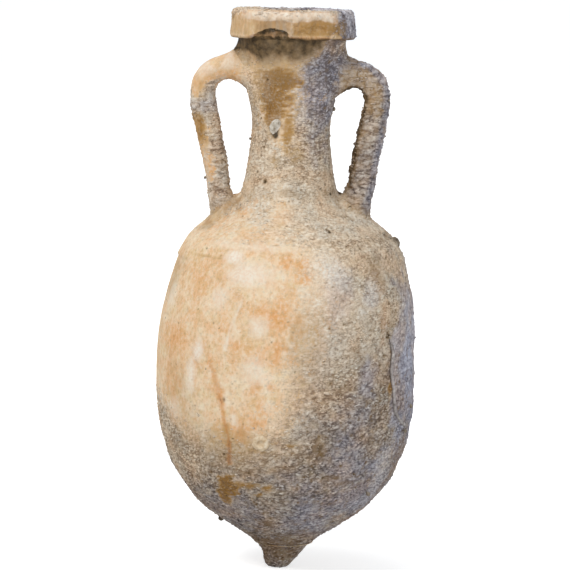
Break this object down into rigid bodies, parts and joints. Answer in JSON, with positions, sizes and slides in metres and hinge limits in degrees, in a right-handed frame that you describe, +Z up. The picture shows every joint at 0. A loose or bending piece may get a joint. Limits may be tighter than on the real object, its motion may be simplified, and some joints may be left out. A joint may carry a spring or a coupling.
{
  "type": "transport amphora",
  "caption": "Two-handled storage and shipping jar of fired clay with a collared mouth, tall neck, egg-shaped body and a solid peg toe, crusted from the sea.",
  "frame": {"origin": "middle of the small flat under the toe", "axes": "+Z up the jar's axis towards the mouth, +X towards the right handle seen from the front, -Y towards the viewer"},
  "size_m": [0.3694, 0.3696, 0.8],
  "materials": {
    "clay": "unglazed buff earthenware with ochre stains and thin lime crust",
    "crusted_clay": "unglazed earthenware under grey granular sea crust",
    "pitch": "dull black-brown resin coat",
    "shell": "chalky shell and lime"
  },
  "bodies": {
    "root": {"toe": "crusted_clay", "lower_wall": "crusted_clay", "upper_wall": "clay", "shoulder": "clay", "neck": "clay", "rim_collar": "clay", "left_handle": "clay", "right_handle": "crusted_clay", "pitch_lining": "pitch", "neck_shell": "shell", "belly_barnacle": "shell", "flank_worm_tube": "shell", "shoulder_shell": "shell", "lower_wall_pebble": "shell"}
  },
  "joints": []
}
